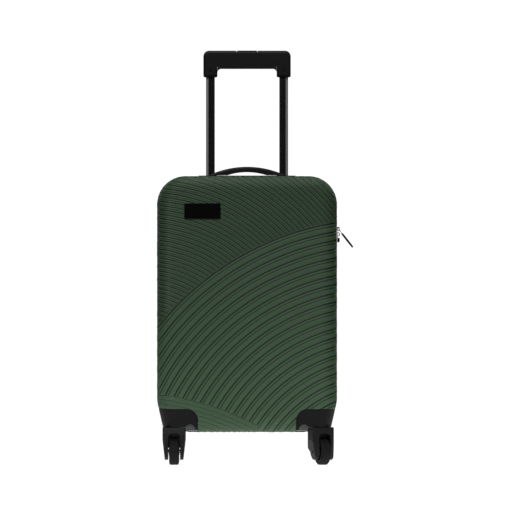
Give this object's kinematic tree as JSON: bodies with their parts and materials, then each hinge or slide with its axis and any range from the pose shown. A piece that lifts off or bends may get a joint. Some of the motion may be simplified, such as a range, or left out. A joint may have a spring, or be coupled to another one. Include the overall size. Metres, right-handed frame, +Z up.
{
  "type": "hard-shell cabin trolley case",
  "caption": "Upright cabin trolley case with two ribbed, zipped half shells, spinner casters, a telescopic handle with release button and a lifting top carry handle.",
  "frame": {"origin": "on the floor, below the middle of the case's width, in the zip plane", "axes": "+Z up; the front face looks toward -Y; the zip sliders are on the +X side, the fabric hinge on -X"},
  "size_m": [0.3746, 0.213, 0.7902],
  "materials": {
    "shell_abs": "moulded, satin",
    "lining_cloth": "woven polyester",
    "zip_cloth": "woven tape",
    "zip_nylon": "moulded",
    "slider_metal": "black lacquer",
    "badge_gloss": "gloss",
    "strap_elastic": "elastic webbing",
    "tread_rubber": "matte",
    "wheel_plastic": "moulded",
    "steel": "plain",
    "tube_aluminium": "black anodised",
    "cover_plastic": "moulded",
    "grip_plastic": "fine grain",
    "button_plastic": "fine grain",
    "black_plastic": "moulded"
  },
  "bodies": {
    "rear_half": {"rear_shell": "shell_abs", "rear_lining": "lining_cloth", "rear_zip_tape": "zip_cloth", "rear_zip_teeth": "zip_nylon", "hinge_tape": "zip_cloth", "packing_straps": "strap_elastic", "strap_buckle": "black_plastic", "rear_housing_screws": "steel", "handle_tray": "black_plastic", "tube_base": "black_plastic", "tube_cover": "cover_plastic", "outer_tube_left": "tube_aluminium", "outer_tube_right": "tube_aluminium", "carry_handle_pockets": "black_plastic", "rear_left_housing": "black_plastic", "rear_right_housing": "black_plastic"},
    "front_half": {"front_shell": "shell_abs", "front_lining": "lining_cloth", "front_zip_tape": "zip_cloth", "front_zip_teeth": "zip_nylon", "badge_plate": "badge_gloss", "front_housing_screws": "steel", "front_left_housing": "black_plastic", "front_right_housing": "black_plastic"},
    "upper_zip_slider": {"upper_slider": "slider_metal"},
    "lower_zip_slider": {"lower_slider": "slider_metal", "padlock_eye": "slider_metal"},
    "puller": {"zip_puller": "slider_metal"},
    "trolley_middle": {"middle_tube_left": "tube_aluminium", "middle_tube_right": "tube_aluminium", "middle_collars": "black_plastic"},
    "trolley_grip": {"inner_tube_left": "tube_aluminium", "inner_tube_right": "tube_aluminium", "grip_body": "grip_plastic", "grip_lower_cover": "grip_plastic", "grip_screws": "steel", "button_springs": "steel"},
    "grip_button": {"release_button": "button_plastic", "push_rods": "steel"},
    "top_carry_handle": {"carry_handle": "grip_plastic"},
    "front_left_caster": {"front_left_fork": "black_plastic", "front_left_stem": "steel", "front_left_axle": "steel"},
    "front_left_wheel": {"front_left_wheel_core": "wheel_plastic", "front_left_tyre": "tread_rubber"},
    "front_right_caster": {"front_right_fork": "black_plastic", "front_right_stem": "steel", "front_right_axle": "steel"},
    "front_right_wheel": {"front_right_wheel_core": "wheel_plastic", "front_right_tyre": "tread_rubber"},
    "rear_left_caster": {"rear_left_fork": "black_plastic", "rear_left_stem": "steel", "rear_left_axle": "steel"},
    "rear_left_wheel": {"rear_left_wheel_core": "wheel_plastic", "rear_left_tyre": "tread_rubber"},
    "rear_right_caster": {"rear_right_fork": "black_plastic", "rear_right_stem": "steel", "rear_right_axle": "steel"},
    "rear_right_wheel": {"rear_right_wheel_core": "wheel_plastic", "rear_right_tyre": "tread_rubber"}
  },
  "joints": [
    {"name": "lid_hinge", "type": "hinge", "parent": "rear_half", "child": "front_half", "pos_m": [-0.172, 0, 0.305], "axis": [0, 0, -1], "range_deg": [0, 180]},
    {"name": "upper_slider_travel", "type": "slide", "parent": "rear_half", "child": "upper_zip_slider", "axis": [0, 0, 1], "range_m": [0, 0.042]},
    {"name": "lower_slider_travel", "type": "slide", "parent": "rear_half", "child": "lower_zip_slider", "axis": [0, 0, 1], "range_m": [-0.28, 0]},
    {"name": "puller_swing", "type": "hinge", "parent": "upper_zip_slider", "child": "puller", "pos_m": [0.1745, 0, 0.4491], "axis": [0, 1, 0], "range_deg": [-140, 14]},
    {"name": "middle_stage_slide", "type": "slide", "parent": "rear_half", "child": "trolley_middle", "axis": [0, 0, 1], "range_m": [0, 0.24]},
    {"name": "grip_stage_slide", "type": "slide", "parent": "trolley_middle", "child": "trolley_grip", "axis": [0, 0, 1], "range_m": [-0.21, 0]},
    {"name": "release_button_press", "type": "slide", "parent": "trolley_grip", "child": "grip_button", "axis": [0, 0, -1], "range_m": [0, 0.0035], "stiffness_N_per_m": 900, "springref_m": -0.002, "deforming": ["button_springs"]},
    {"name": "carry_handle_lift", "type": "slide", "parent": "rear_half", "child": "top_carry_handle", "axis": [0, 0, 1], "range_m": [0, 0.016], "stiffness_N_per_m": 200, "springref_m": -0.004},
    {"name": "front_left_swivel", "type": "hinge", "parent": "front_half", "child": "front_left_caster", "pos_m": [-0.139, -0.0675, 0.08], "axis": [0, 0, 1], "continuous": true},
    {"name": "front_left_wheel_spin", "type": "hinge", "parent": "front_left_caster", "child": "front_left_wheel", "pos_m": [-0.139, -0.0815, 0.025], "axis": [1, 0, 0], "continuous": true},
    {"name": "front_right_swivel", "type": "hinge", "parent": "front_half", "child": "front_right_caster", "pos_m": [0.139, -0.0675, 0.08], "axis": [0, 0, 1], "continuous": true},
    {"name": "front_right_wheel_spin", "type": "hinge", "parent": "front_right_caster", "child": "front_right_wheel", "pos_m": [0.14379, -0.08066, 0.025], "axis": [0.9397, 0.342, 0], "continuous": true},
    {"name": "rear_left_swivel", "type": "hinge", "parent": "rear_half", "child": "rear_left_caster", "pos_m": [-0.139, 0.0675, 0.08], "axis": [0, 0, 1], "continuous": true},
    {"name": "rear_left_wheel_spin", "type": "hinge", "parent": "rear_left_caster", "child": "rear_left_wheel", "pos_m": [-0.139, 0.0815, 0.025], "axis": [-1, 0, 0], "continuous": true},
    {"name": "rear_right_swivel", "type": "hinge", "parent": "rear_half", "child": "rear_right_caster", "pos_m": [0.139, 0.0675, 0.08], "axis": [0, 0, 1], "continuous": true},
    {"name": "rear_right_wheel_spin", "type": "hinge", "parent": "rear_right_caster", "child": "rear_right_wheel", "pos_m": [0.14379, 0.08066, 0.025], "axis": [-0.9397, 0.342, 0], "continuous": true}
  ]
}
